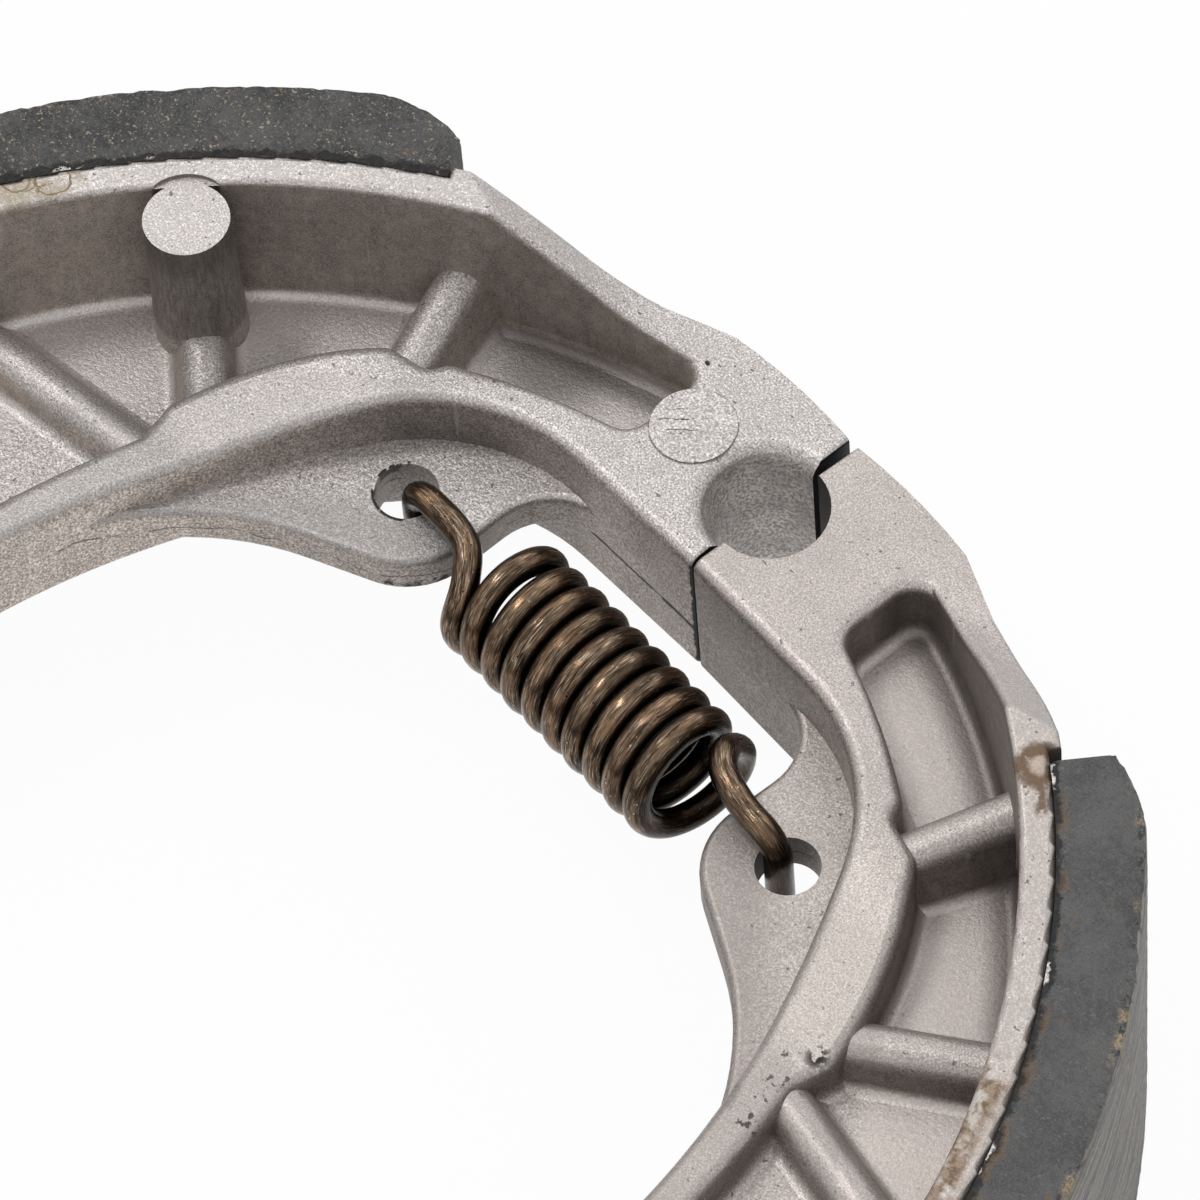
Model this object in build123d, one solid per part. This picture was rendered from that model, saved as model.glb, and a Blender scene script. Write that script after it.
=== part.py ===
from build123d import *
import os
from math import asin, cos, degrees, radians, sin

# A pair of brake shoes for a small drum brake, drawn together by two return springs.
# Millimetres. Z runs along the wheel's axle, with the shoes' mid-plane at Z = 0.
# The drum's centre is the origin, the anchor pin is at +Y and the brake cam at -Y.
# Each shoe is drawn in its own frame, as it sits in a closed brake round that centre.
# Angles are measured from the pivot end, +Y, towards -X.

# Drum, lining and table
DRUM_RADIUS = 55.0
SHOE_WIDTH = 25.0
LINING_THICKNESS = 5.0
LINING_END_ANGLE = 32.5
LINING_CHAMFER_ANGLE = 38.0
LINING_TIP_THICKNESS = 3.1
LINING_TIP_CROWN = 0.3
LINING_GAP_ANGLE = 0.15
TABLE_THICKNESS = 2.0
LIP_HEIGHT = 0.75
WAIST_ANGLE = 17.5
WAIST_DEPTH = 0.45
SHOULDER_ANGLE = 12.3
TIP_CROWN = 0.35

# The casting's plan is laid out in steps of this unit, so that it follows the drum
PLAN = DRUM_RADIUS / 55.0
TIP_LEVEL = 49.45 * PLAN

# Web, inner rib and pivot block
WEB_THICKNESS = 2.8
BLOCK_THICKNESS = 11.3
RIB_MIDDLE_THICKNESS = 7.6
BLOCK_END_X = 10.1 * PLAN
BLOCK_INNER_LEVEL = 37.4 * PLAN
BLOCK_INNER_END_X = 11.0 * PLAN
RIB_OUTER_RADIUS = 42.1 * PLAN
RIB_STEP_ANGLE = 31.4
RIB_STEP_RADIUS = 41.4 * PLAN
RIB_SHOULDER_ANGLE = 34.9
RIB_SHOULDER_RADIUS = 42.4 * PLAN
RIB_CROWN_RADIUS = 41.1 * PLAN
RIB_CROWN_ANGLE = 43.0
RIB_NODE_ANGLE = 52.9
RIB_NODE_RADIUS = 38.8 * PLAN
RIB_NECK_ANGLE = 55.6
RIB_NECK_RADIUS = 36.9 * PLAN
RIB_WAIST_ANGLE = 70.0
RIB_WAIST_RADIUS = 34.7 * PLAN
RIB_MIDDLE_OUTER = 33.8 * PLAN
RIB_MIDDLE_INNER = 31.2 * PLAN
HAUNCH_X = 21.9 * PLAN
HAUNCH_Y = 31.2 * PLAN
FLANK_X = 27.8 * PLAN
FLANK_Y = 19.0 * PLAN
RIB_SLOPE_TOP = 33.0 * PLAN
RIB_SLOPE_FOOT = 22.0 * PLAN
RIB_BEND_RADIUS = 12.0
RIB_EDGE_ROUND = 0.8
RIB_CORNER_RADIUS = 0.9
RIM_EDGE_ROUND = 0.4
POCKET_BLOCK_CORNER = 1.5
POCKET_RIM_CORNER = 1.6
FOOT_ROUND = 0.8

# Ramp between the table's edge and the pivot block
RAMP_ANGLE = 48.0
RAMP_TURN = 15.7
RAMP_START = 34.5 * PLAN
RAMP_BLEND_RADIUS = 5.0

# Cross ribs in the pockets: foot's radius and angle, angle at the table, heights of foot and table end
CROSS_RIBS = [
    (39.9 * PLAN, 34.2, 31.6, 4.7, 5.9),
    (37.5 * PLAN, 49.7, 50.2, 4.0, 4.2),
    (36.0 * PLAN, 55.2, 67.6, 3.45, 3.6),
]
CENTRE_RIB_TABLE_ANGLE = 67.6
CROSS_RIB_CREST_RADIUS = 1.45
CROSS_RIB_DRAFT = 16.0
CROSS_RIB_FLARE = 0.8

# Ejector boss and pad, on one face only
BOSS_RADIUS = 2.55
BOSS_ANGLE = 50.2
BOSS_CLEAR_OF_LINING = 4.25
BOSS_DROP = 0.3
BOSS_DRAFT = 0.25
BOSS_RELIEF = 0.4
PAD_RADIUS = 2.55
PAD_X = 7.85 * PLAN
PAD_Y = 43.7 * PLAN
PAD_STAND = 0.08

# Spring ear
EAR_RADIUS = 5.0
EAR_FLANK = 4.2
EAR_HOLE_X = 18.1 * PLAN
CAM_HOLE_X = 19.57 * PLAN
EAR_Y = 30.4 * PLAN
EAR_HOLE_RADIUS = 1.9
EAR_TURN = 24.0
EAR_REACH_X = 30.3 * PLAN
EAR_REACH_Y = 11.6 * PLAN
EAR_ROOT_RADIUS = 4.0
EAR_EDGE_ROUND = 0.5

# Anchor pin seat and cam face
ANCHOR_PIN_RADIUS = 3.45
ANCHOR_CLEARANCE = 0.05
ANCHOR_DISTANCE = 43.2 * PLAN
SPLIT_SETBACK = 1.05
CAM_SETBACK = 3.2 * PLAN
SEAT_LEAD_IN = 1.2
SPLIT_EDGE_ROUND = 0.3

# The two shoes drawn together
SPLIT_CLEARANCE = 0.05
CLOSING_ANGLE = 1.385

# Return springs
WIRE_RADIUS = 0.85
COIL_RADIUS = 3.35
COIL_PITCH = 1.8
COIL_TURNS = 9.5
HOOK_RISE = 3.0
HOOK_BEND = 1.7
HOOK_DROP = 2.6
HOLE_CLEARANCE = 0.2

# Worked out from the sizes above
TABLE_OUTER = DRUM_RADIUS - LINING_THICKNESS
TABLE_INNER = TABLE_OUTER - TABLE_THICKNESS
HALF_WIDTH = SHOE_WIDTH / 2
HALF_BLOCK = BLOCK_THICKNESS / 2
HALF_WEB = WEB_THICKNESS / 2
LIP_RADIUS = TABLE_OUTER + LIP_HEIGHT
BOSS_PLAN_RADIUS = TABLE_OUTER - BOSS_CLEAR_OF_LINING
SEAT_RADIUS = ANCHOR_PIN_RADIUS + ANCHOR_CLEARANCE
BEYOND = 2 * DRUM_RADIUS


def polar(radius, angle):
    """Plan point at a radius from the drum's centre and an angle from the pivot end."""
    return Vector(-radius * sin(radians(angle)), radius * cos(radians(angle)))


def slab(face, bottom, top):
    """Upright solid of a plan face between two levels."""
    return Pos(0, 0, bottom) * extrude(face, top - bottom)


def with_far_half(half):
    """Half a shoe and its mirror image across the mid-line, as one."""
    return half + mirror(half, about=Plane.XZ)


def with_other_face(solid):
    """A feature of the upper face and its mirror image below the web, as one."""
    return solid + mirror(solid, about=Plane.XY)


def outer_edge():
    """Half of the shoe's outer edge, from the mid-line to beyond the split."""
    lip = polar(LIP_RADIUS, LINING_END_ANGLE)
    waist = polar(LIP_RADIUS - WAIST_DEPTH, WAIST_ANGLE)
    shoulder = polar(LIP_RADIUS, SHOULDER_ANGLE)
    tip = Vector(0, TIP_LEVEL)
    return [
        ThreePointArc(
            (-TABLE_OUTER, 0), polar(TABLE_OUTER, (90 + LINING_END_ANGLE) / 2), polar(TABLE_OUTER, LINING_END_ANGLE)
        ),
        Line(polar(TABLE_OUTER, LINING_END_ANGLE), lip),
        ThreePointArc(lip, polar(LIP_RADIUS - WAIST_DEPTH / 4, (LINING_END_ANGLE + WAIST_ANGLE) / 2), waist),
        Line(waist, shoulder),
        ThreePointArc(shoulder, (shoulder + tip) / 2 + Vector(0, TIP_CROWN), tip),
    ]


def inner_edge():
    """Half of the inner rib's inner edge, from beyond the split back to the mid-line."""
    straight = Line((0, BLOCK_INNER_LEVEL), (-BLOCK_INNER_END_X, BLOCK_INNER_LEVEL))
    haunch = TangentArc(straight @ 1, (-HAUNCH_X, HAUNCH_Y), tangent=straight % 1)
    flank = TangentArc(haunch @ 1, (-FLANK_X, FLANK_Y), tangent=haunch % 1)
    middle = TangentArc(flank @ 1, (-RIB_MIDDLE_INNER, 0), tangent=flank % 1)
    return [straight, haunch, flank, middle]


def pocket_edge():
    """Half of the pocket between table and inner rib, from the table's mid-line round to the rib's."""
    arc_end = polar(TABLE_INNER, degrees(asin(BLOCK_END_X / TABLE_INNER)))
    foot_x = BLOCK_END_X + 0.2
    block_foot = Vector(-foot_x, (RIB_OUTER_RADIUS ** 2 - foot_x ** 2) ** 0.5)
    step = polar(RIB_STEP_RADIUS, RIB_STEP_ANGLE)
    shoulder = polar(RIB_SHOULDER_RADIUS, RIB_SHOULDER_ANGLE)
    node = polar(RIB_NODE_RADIUS, RIB_NODE_ANGLE)
    neck = polar(RIB_NECK_RADIUS, RIB_NECK_ANGLE)
    rib_end = polar(RIB_OUTER_RADIUS, RIB_STEP_ANGLE - 1.5)
    return [
        ThreePointArc((-TABLE_INNER, 0), polar(TABLE_INNER, 50), arc_end),
        Line(arc_end, block_foot),
        ThreePointArc(block_foot, polar(RIB_OUTER_RADIUS, 22), rib_end),
        Line(rib_end, step),
        Line(step, shoulder),
        ThreePointArc(shoulder, polar(RIB_CROWN_RADIUS, RIB_CROWN_ANGLE), node),
        Line(node, neck),
        ThreePointArc(neck, polar(RIB_WAIST_RADIUS, RIB_WAIST_ANGLE), (-RIB_MIDDLE_OUTER, 0)),
    ]


def closed_face(edges):
    """Face inside a chain of edges that starts and ends on the straight line that closes it."""
    closing = Line(edges[-1] @ 1, edges[0] @ 0)
    return make_face(Curve() + edges + [closing])


def plan_face():
    """Half of the whole shoe's outline."""
    outer = outer_edge()
    inner = inner_edge()
    end = Line(outer[-1] @ 1, inner[0] @ 0)
    return closed_face(outer + [end] + inner)


def pocket_face():
    """Half of the pocket's outline, with its corners rounded."""
    face = closed_face(pocket_edge())
    block_end = face.vertices().filter_by(lambda v: abs(v.X + BLOCK_END_X) < 0.6).sort_by(Axis.Y)
    face = fillet(block_end[0], POCKET_BLOCK_CORNER)
    rim_end = face.vertices().filter_by(lambda v: abs(v.X + BLOCK_END_X) < 0.6).sort_by(Axis.Y)[-1]
    face = fillet(rim_end, POCKET_RIM_CORNER)
    rib_corners = face.vertices().filter_by(
        lambda v: v.X < -BLOCK_END_X - 5 and v.Y > 5 and Vector(v.X, v.Y).length < RIB_OUTER_RADIUS + 1
    )
    return fillet(rib_corners, RIB_CORNER_RADIUS)


def ear_outline(hole_x):
    """Spring ear's free edge: a side that turns into the block, a round end and a long curve into the rib."""
    centre = Vector(-hole_x, EAR_Y)
    flank_length = EAR_FLANK - (hole_x - EAR_HOLE_X) / cos(radians(EAR_TURN))
    side = centre + Vector(EAR_RADIUS, 0)
    turn = radians(EAR_TURN)
    leave = centre + EAR_RADIUS * Vector(sin(turn), -cos(turn))
    heading = Vector(-cos(turn), -sin(turn))
    shoulder = Vector(side.X, BLOCK_INNER_LEVEL - EAR_ROOT_RADIUS)
    root = Vector(side.X + EAR_ROOT_RADIUS, BLOCK_INNER_LEVEL)
    bow = EAR_ROOT_RADIUS * (1 - cos(radians(45)))
    nose = ThreePointArc(side, centre + EAR_RADIUS * Vector(cos(turn), -sin(turn)), leave)
    flank = Line(nose @ 1, leave + flank_length * heading)
    tail = TangentArc(flank @ 1, (-EAR_REACH_X, EAR_REACH_Y), tangent=heading)
    root_curve = ThreePointArc(root, (side.X + bow, BLOCK_INNER_LEVEL - bow), shoulder)
    return [root_curve, Line(shoulder, side), nose, flank, tail]


def spring_ear(hole_x):
    """Flat ear on the web's level with a rounded free edge, before its hole is cut."""
    outline = ear_outline(hole_x)
    inside_rib = [
        outline[-1] @ 1,
        polar(35.5 * PLAN, 62),
        polar(38.5 * PLAN, 45),
        polar(41 * PLAN, 24),
        outline[0] @ 0 + Vector(0, 2),
    ]
    ear = slab(closed_face(outline + [Polyline(*inside_rib)]), -HALF_WEB, HALF_WEB)
    free = [curve @ 0.5 for curve in outline]
    rounded = ear.edges().filter_by(
        lambda e: any(Vector((e @ 0.5).X, (e @ 0.5).Y).sub(spot).length < 0.01 for spot in free)
    )
    return fillet(rounded, EAR_EDGE_ROUND)


def rib_section(plane, height):
    """Section of a cross rib: flared foot, drafted sides and a round crest."""
    crest = CROSS_RIB_CREST_RADIUS
    knee = HALF_WEB + CROSS_RIB_FLARE
    shoulder = height - 0.75 * crest
    draft = radians(CROSS_RIB_DRAFT)
    half = crest + (shoulder - knee) * sin(draft) / cos(draft)
    foot = half + CROSS_RIB_FLARE
    bow = CROSS_RIB_FLARE * (1 - cos(radians(45)))
    edges = [
        Line((foot, 0), (foot, HALF_WEB)),
        ThreePointArc((foot, HALF_WEB), (half + bow, HALF_WEB + bow), (half, knee)),
        Line((half, knee), (crest, shoulder)),
        ThreePointArc((crest, shoulder), (0, height), (-crest, shoulder)),
        Line((-crest, shoulder), (-half, knee)),
        ThreePointArc((-half, knee), (-half - bow, HALF_WEB + bow), (-foot, HALF_WEB)),
        Line((-foot, HALF_WEB), (-foot, 0)),
    ]
    return plane * closed_face(edges)


def cross_rib(foot, crest, foot_height, crest_height):
    """Rib on both faces of the web, between two plan points."""
    run = crest - foot
    across = (run.Y, -run.X, 0)
    near = rib_section(Plane(origin=foot, x_dir=across, z_dir=run), foot_height)
    far = rib_section(Plane(origin=crest, x_dir=across, z_dir=run), crest_height)
    return with_other_face(loft([near, far]))


def ramp_cutter():
    """What is cleared above the ramp from the table's edge down to the pivot block."""
    drop = HALF_WIDTH - HALF_BLOCK
    blend_drop = RAMP_BLEND_RADIUS * (1 - cos(radians(RAMP_ANGLE)))
    line_run = (drop - blend_drop) / (sin(radians(RAMP_ANGLE)) / cos(radians(RAMP_ANGLE)))
    knee = Vector(RAMP_START + line_run, HALF_BLOCK + blend_drop)
    foot = Vector(knee.X + RAMP_BLEND_RADIUS * sin(radians(RAMP_ANGLE)), HALF_BLOCK)
    above = HALF_WIDTH + 1
    slope = Line((RAMP_START, HALF_WIDTH), knee)
    edges = [
        slope,
        TangentArc(knee, foot, tangent=slope % 1),
        Line(foot, (BEYOND, HALF_BLOCK)),
        Line((BEYOND, HALF_BLOCK), (BEYOND, above)),
        Line((BEYOND, above), (RAMP_START, above)),
    ]
    turn = radians(RAMP_TURN)
    down_slope = Vector(sin(turn), cos(turn), 0)
    plane = Plane(origin=(0, 0, 0), x_dir=down_slope, z_dir=(cos(turn), -sin(turn), 0))
    return extrude(plane * closed_face(edges), BEYOND, both=True)


def rib_slope_cutter():
    """What is cleared above the inner rib, which gets lower towards the middle of the shoe."""
    low = RIB_MIDDLE_THICKNESS / 2
    above = HALF_BLOCK + 1
    points = [
        (-1, low),
        (RIB_SLOPE_FOOT, low),
        (RIB_SLOPE_TOP, HALF_BLOCK),
        (DRUM_RADIUS, HALF_BLOCK),
        (DRUM_RADIUS, above),
        (-1, above),
    ]
    face = make_face(Polyline(*points, close=True))
    bends = face.vertices().filter_by(lambda v: RIB_SLOPE_FOOT - 1 < v.X < RIB_SLOPE_TOP + 1)
    return Pos(-TABLE_INNER + 6, 0, 0) * extrude(Plane.YZ * fillet(bends, RIB_BEND_RADIUS), 30)


def is_rib_crest(edge):
    """Upper edges of the inner rib and of the block's pocket end, without their cross seams."""
    middle = edge @ 0.5
    start = edge @ 0
    end = edge @ 1
    seam = abs(start.Y - end.Y) < 1e-4 and RIB_SLOPE_FOOT - 5 < start.Y < RIB_SLOPE_TOP + 2
    outside = middle.X < -BLOCK_END_X - 1 and middle.length > 8 + RIB_MIDDLE_OUTER and middle.Y > 45
    at_rim = Vector(middle.X, middle.Y).length > RIB_OUTER_RADIUS + 0.8 and middle.X < -BLOCK_END_X - 0.9
    on_cut = abs(middle.X) < 0.01 or abs(middle.Y) < 0.01
    level = middle.Z > RIB_MIDDLE_THICKNESS / 2 - 0.1 and abs(start.Z - end.Z) < 2
    return level and not (seam or outside or at_rim or on_cut) and middle.Y < 45.6


def is_ramp_edge(edge):
    """Edges of the wall's top and ramps, without the level ones beside the block."""
    start = edge @ 0
    end = edge @ 1
    on_cut = abs((edge @ 0.5).X) < 0.01 or abs((edge @ 0.5).Y) < 0.01
    top = min(start.Z, end.Z) > HALF_WIDTH - 0.1
    sloping = min(start.Z, end.Z) > HALF_BLOCK - 0.1 and abs(start.Z - end.Z) > 0.01
    return (top or sloping) and not on_cut


def is_pocket_foot(edge):
    """Edges where the walls round the pocket meet the web."""
    box = edge.bounding_box()
    on_cut = abs((edge @ 0.5).X) < 0.01 or abs((edge @ 0.5).Y) < 0.01
    return abs(box.min.Z - HALF_WEB) < 1e-3 and abs(box.max.Z - HALF_WEB) < 1e-3 and not on_cut


def upper_quarter():
    """Half of a bare shoe above its mid-plane: inner rib, block, table and web, with soft edges."""
    plan = plan_face()
    frame = slab(plan - pocket_face(), 0, HALF_BLOCK) - rib_slope_cutter()
    frame = fillet(frame.edges().filter_by(is_rib_crest), RIB_EDGE_ROUND)
    wall = slab(plan - Circle(TABLE_INNER), 0, HALF_WIDTH) - ramp_cutter()
    wall = fillet(wall.edges().filter_by(is_ramp_edge), RIM_EDGE_ROUND)
    quarter = frame + wall + slab(plan, 0, HALF_WEB)
    return fillet(quarter.edges().filter_by(is_pocket_foot), FOOT_ROUND)


def half_casting(hole_x):
    """Half of a bare shoe, both faces, with its ear and cross ribs but no boss and no end face."""
    half = with_other_face(upper_quarter()) + spring_ear(hole_x)
    half -= Pos(-hole_x, EAR_Y) * Cylinder(EAR_HOLE_RADIUS, 2 * WEB_THICKNESS)
    for foot_radius, foot_angle, table_angle, foot_height, crest_height in CROSS_RIBS:
        crest = polar(TABLE_INNER + 0.5, table_angle)
        half += cross_rib(polar(foot_radius, foot_angle), crest, foot_height, crest_height)
    return half


def ejector_boss(end):
    """Boss beside the rim, at the pivot end or the cam end."""
    at = polar(BOSS_PLAN_RADIUS, BOSS_ANGLE)
    down = (Align.CENTER, Align.CENTER, Align.MAX)
    cone = Cone(BOSS_RADIUS + BOSS_DRAFT, BOSS_RADIUS, HALF_WIDTH - BOSS_DROP, align=down)
    return Pos(at.X, end * at.Y, HALF_WIDTH - BOSS_DROP) * cone


def ejector_pad(end):
    """Flat pad on the block, at the pivot end or the cam end."""
    down = (Align.CENTER, Align.CENTER, Align.MAX)
    return Pos(-PAD_X, end * PAD_Y, HALF_BLOCK + PAD_STAND) * Cylinder(PAD_RADIUS, HALF_BLOCK, align=down)


def boss_relief(end):
    """Clearance round the boss where it stands into the rim."""
    at = polar(BOSS_PLAN_RADIUS, BOSS_ANGLE)
    return Pos(at.X, end * at.Y, HALF_WIDTH) * Cylinder(BOSS_RADIUS + BOSS_RELIEF, 2 * BOSS_DROP)


def is_split_edge(edge):
    """Upper and lower edges of the split face and of the cam face."""
    middle = edge @ 0.5
    on_face = abs(middle.X + SPLIT_SETBACK) < 1e-3 and middle.Y > 0
    on_cam_face = abs(middle.X + CAM_SETBACK) < 1e-3 and middle.Y < 0
    return (on_face or on_cam_face) and abs(abs(middle.Z) - HALF_BLOCK) < 1e-3


def seat_cutter():
    """What is cleared for the anchor pin, with a soft lead-in on the ejector face."""
    pin = Cylinder(SEAT_RADIUS, 2 * SHOE_WIDTH)
    low = HALF_BLOCK - SEAT_LEAD_IN
    wide = SEAT_RADIUS + SEAT_LEAD_IN
    bow = SEAT_LEAD_IN * (1 - cos(radians(45)))
    lip = [
        ThreePointArc((SEAT_RADIUS, low), (SEAT_RADIUS + bow, HALF_BLOCK - bow), (wide, HALF_BLOCK)),
        Line((wide, HALF_BLOCK), (wide, HALF_BLOCK + 1)),
        Line((wide, HALF_BLOCK + 1), (0, HALF_BLOCK + 1)),
        Line((0, HALF_BLOCK + 1), (0, low)),
    ]
    lead_in = revolve(Plane.XZ * closed_face(lip), Axis.Z)
    return Pos(-SPLIT_SETBACK, ANCHOR_DISTANCE) * (pin + lead_in)


def shoe_casting():
    """One cast shoe in its own frame, with the ejector bosses on its upper face."""
    casting = half_casting(EAR_HOLE_X) + mirror(half_casting(CAM_HOLE_X), about=Plane.XZ)
    for end in (1, -1):
        crest = polar(TABLE_INNER + 0.5, CENTRE_RIB_TABLE_ANGLE)
        foot = Vector(-RIB_MIDDLE_OUTER + 1, 0)
        casting += cross_rib(foot, Vector(crest.X, end * crest.Y), CROSS_RIBS[-1][3], CROSS_RIBS[-1][4])
        casting -= boss_relief(end)
        casting += ejector_boss(end)
    split = Pos(-SPLIT_SETBACK, 0) * Box(BEYOND, BEYOND, BEYOND, align=(Align.MIN, Align.MIN, Align.CENTER))
    cam = Pos(-CAM_SETBACK, 0) * Box(BEYOND, BEYOND, BEYOND, align=(Align.MIN, Align.MAX, Align.CENTER))
    casting = casting - split - cam
    casting = fillet(casting.edges().filter_by(is_split_edge), SPLIT_EDGE_ROUND)
    casting -= seat_cutter()
    return casting + ejector_pad(1) + ejector_pad(-1)


def friction_lining():
    """Lining bonded to the table, chamfered at both ends."""
    start = LINING_END_ANGLE + LINING_GAP_ANGLE
    tip_radius = TABLE_OUTER + LINING_TIP_THICKNESS
    chamfer_start = polar(DRUM_RADIUS, LINING_CHAMFER_ANGLE)
    tip = polar(tip_radius, start)
    middle = (chamfer_start + tip) / 2
    edges = [
        ThreePointArc((-DRUM_RADIUS, 0), polar(DRUM_RADIUS, 64), chamfer_start),
        ThreePointArc(chamfer_start, middle * (1 + LINING_TIP_CROWN / middle.length), tip),
        Line(polar(tip_radius, start), polar(TABLE_OUTER, start)),
        ThreePointArc(polar(TABLE_OUTER, start), polar(TABLE_OUTER, 60), (-TABLE_OUTER, 0)),
    ]
    half = slab(closed_face(edges), -HALF_WIDTH, HALF_WIDTH)
    return with_far_half(half)


def hook(start, heading, side, leg, over):
    """Centre line of a hook: from the coil's end over the ear, round a bend and down through the hole."""
    bend_start = Vector(side * (leg - HOOK_BEND), 0, HOOK_RISE)
    bow = HOOK_BEND * sin(radians(45))
    bend_middle = Vector(side * (leg - HOOK_BEND + bow), 0, HOOK_RISE - HOOK_BEND + bow)
    bend_end = Vector(side * leg, 0, HOOK_RISE - HOOK_BEND)
    reach = Spline([start] + over + [bend_start], tangents=(heading, Vector(side, 0, 0)))
    bend = ThreePointArc(bend_start, bend_middle, bend_end)
    return [reach, bend, Line(bend_end, (side * leg, 0, -HOOK_DROP))]


def return_spring(hole_span):
    """Close-coiled spring along X, its hooks going down through holes that far apart."""
    end = COIL_TURNS * COIL_PITCH / 2
    leg = hole_span / 2 - EAR_HOLE_RADIUS + WIRE_RADIUS + HOLE_CLEARANCE
    coil = Pos(-end, 0, 0) * Rot(0, 90, 0) * Rot(0, 0, -90) * Helix(COIL_PITCH, 2 * end, COIL_RADIUS)
    reach = COIL_RADIUS
    left_over = [(-end - 0.7, -0.53 * reach, 0.8 * reach), (-end - 2.3, -0.13 * reach, reach - 0.1)]
    right_over = [(end + 0.8, 0.56 * reach, 0.83 * reach), (end + 2.4, 0.16 * reach, reach)]
    left = hook(coil @ 0, -(coil % 0), -1, leg, left_over)
    right = hook(coil @ 1, coil % 1, 1, leg, right_over)
    section = make_face(Wire.make_circle(WIRE_RADIUS, Plane(origin=coil @ 0, z_dir=coil % 0)))
    body = sweep(section, path=coil, is_frenet=True)
    for line in (left, right):
        section = make_face(Wire.make_circle(WIRE_RADIUS, Plane(origin=line[0] @ 0, z_dir=line[0] % 0)))
        body += sweep(section, path=Wire(line))
    return body


# Build the pair: each shoe turned about its inner corner until the cam faces meet
corner = Vector(-SPLIT_SETBACK, BLOCK_INNER_LEVEL)
to_centre = Pos(SPLIT_SETBACK - SPLIT_CLEARANCE / 2, 0, 0)
drawn_together = to_centre * Pos(corner.X, corner.Y) * Rot(0, 0, CLOSING_ANGLE) * Pos(-corner.X, -corner.Y)
other_side = Rot(0, 180, 0)

casting = drawn_together * shoe_casting()
lining = drawn_together * friction_lining()
anchor_hole = (drawn_together * Pos(-EAR_HOLE_X, EAR_Y)).position
cam_hole = (drawn_together * Pos(-CAM_HOLE_X, -EAR_Y)).position
spring = return_spring(-2 * anchor_hole.X)

nodes = {
    "shoe_casting_left": casting,
    "shoe_casting_right": other_side * casting,
    "friction_lining_left": lining,
    "friction_lining_right": other_side * lining,
    "return_spring_anchor": Pos(0, anchor_hole.Y, 0) * spring,
    "return_spring_cam": Pos(0, cam_hole.Y, 0) * spring,
}

os.makedirs("parts", exist_ok=True)
for name, solid in nodes.items():
    export_step(solid, "parts/" + name + ".step")
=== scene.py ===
import math

import bmesh
import bpy
import numpy as np
from mathutils import Matrix, Vector, noise


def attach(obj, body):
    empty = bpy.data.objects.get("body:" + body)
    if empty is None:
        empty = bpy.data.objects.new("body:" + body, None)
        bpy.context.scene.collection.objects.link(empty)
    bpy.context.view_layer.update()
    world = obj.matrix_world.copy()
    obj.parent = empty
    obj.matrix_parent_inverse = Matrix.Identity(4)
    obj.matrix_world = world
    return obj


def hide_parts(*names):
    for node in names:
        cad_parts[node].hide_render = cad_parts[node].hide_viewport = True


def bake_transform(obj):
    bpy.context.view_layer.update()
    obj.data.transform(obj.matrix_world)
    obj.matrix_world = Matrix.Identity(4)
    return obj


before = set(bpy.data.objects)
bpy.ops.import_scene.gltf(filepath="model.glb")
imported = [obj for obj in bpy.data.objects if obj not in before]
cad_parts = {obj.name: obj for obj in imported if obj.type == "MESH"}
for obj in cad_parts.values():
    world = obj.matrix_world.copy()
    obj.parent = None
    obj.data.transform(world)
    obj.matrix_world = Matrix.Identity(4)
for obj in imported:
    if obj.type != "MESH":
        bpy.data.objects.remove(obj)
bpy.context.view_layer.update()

MM = 0.001
WHITE = (1, 1, 1, 1)

# Camera: the photograph's side and focal length in pixels, the sensor's width in millimetres, and
# the camera's place in millimetres and its directions
PHOTO_SIDE = 1200
FOCAL_LENGTH = 8864.75
SENSOR_WIDTH = 36.0
CAMERA_PLACE = (220.02, -125.70, 427.64)
CAMERA_RIGHT = (0.64169, 0.76526, -0.05098)
CAMERA_DOWN = (0.62730, -0.56192, -0.53920)
CAMERA_AHEAD = (-0.44128, 0.31402, -0.84063)

# Floor, in metres, how white it is where it's seen, and the direction towards the viewer in plan
FLOOR_Z = -12.5 * MM
FLOOR_HALF = 3.0
FLOOR_WHITENESS = 0.96
TO_VIEWER = (0.74, -0.67, 0.0)

# All further lengths are in millimetres, and side is -1 for the left shoe and 1 for the right one

# The left shoe's centre in plan, mirrored for the right one, and the angle by which each is turned
SHOE_CENTRE = (1.929, 0.036)
SHOE_TURN = math.radians(1.385)

# Linings
TABLE_OUTER = 50.0
DRUM_RADIUS = 55.0
LINING_HALF_WIDTH = 12.5
CHAMFER_ANGLE = 38.0
# Angle, thickness at the tip and crown of the chamfer, at the anchor end and at the cam end
LINING_ENDS = {
    -1: ((32.65, 2.95, 0.4), (32.65, 2.95, 0.4)),
    1: ((33.5, 4.0, 0.15), (32.65, 3.1, 0.3)),
}

# Depth of the bites out of the outer edges and of the stretches broken away, on each side
EDGE_BITE = {-1: 0.2, 1: 0.28}
EDGE_BREAK = {-1: 0.3, 1: 3.0}

# Points of the lining's mesh: along each chamfer and the run between them, across and through it
CHAMFER_POINTS = 22
RUN_POINTS = 258
ACROSS_POINTS = 64
THROUGH_POINTS = 14

# Dark and light of the compound, its two kinds of fleck and how strongly they show, on each side
COMPOUND = {
    -1: ((0.016, 0.016, 0.018, 1), (0.098, 0.096, 0.096, 1)),
    1: ((0.058, 0.059, 0.062, 1), (0.128, 0.127, 0.127, 1)),
}
FLECKS = {
    -1: ((0.36, 0.32, 0.23, 1), (0.17, 0.135, 0.10, 1)),
    1: ((0.20, 0.185, 0.165, 1), (0.13, 0.115, 0.10, 1)),
}
FLECK_STRENGTH = {-1: 0.9, 1: 0.55}

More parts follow.
